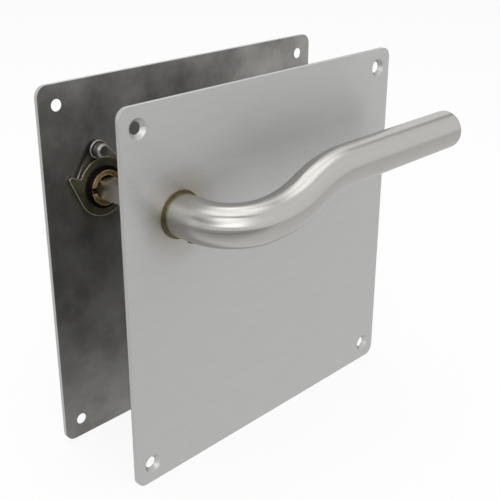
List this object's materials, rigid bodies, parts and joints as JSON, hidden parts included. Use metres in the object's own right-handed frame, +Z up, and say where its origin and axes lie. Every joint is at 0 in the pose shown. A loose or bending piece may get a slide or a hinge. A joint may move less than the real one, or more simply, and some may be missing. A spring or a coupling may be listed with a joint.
{
  "type": "lever door handle",
  "caption": "Lever door handle set: cranked round-tube levers on square backplates for both faces of a door, joined by a square spindle and centred by torsion springs.",
  "frame": {"origin": "on the spindle axis, midway between the two plates", "axes": "+X along the grips, +Y along the spindle to the rear side, +Z up"},
  "size_m": [0.1795, 0.131, 0.17],
  "materials": {
    "brushed_plate": "brushed",
    "satin_tube": "satin",
    "bearing_bronze": "dull",
    "core_brass": "turned",
    "cam_steel": "oiled",
    "black_spring_steel": "phosphated",
    "stud_steel": "turned",
    "spring_wire": "drawn",
    "dark_screw": "phosphated",
    "spindle_steel": "drawn"
  },
  "bodies": {
    "plates": {"front_plate": "brushed_plate", "front_bush": "bearing_bronze", "front_stud": "stud_steel", "front_spring": "spring_wire", "rear_plate": "brushed_plate", "rear_bush": "bearing_bronze", "rear_stud": "stud_steel", "rear_spring": "spring_wire"},
    "levers": {"front_lever": "satin_tube", "front_end_cap": "satin_tube", "front_neck_core": "core_brass", "front_cam": "cam_steel", "front_circlip": "black_spring_steel", "front_grub_screw": "dark_screw", "rear_lever": "satin_tube", "rear_end_cap": "satin_tube", "rear_neck_core": "core_brass", "rear_cam": "cam_steel", "rear_circlip": "black_spring_steel", "rear_grub_screw": "dark_screw", "spindle": "spindle_steel"}
  },
  "joints": [
    {"name": "lever_turn", "type": "hinge", "parent": "plates", "child": "levers", "pos_m": [0, 0, 0], "axis": [0, 1, 0], "range_deg": [-40, 40], "stiffness_Nm_per_rad": 5, "springref_deg": -1.72, "deforming": ["front_spring", "rear_spring"]}
  ]
}
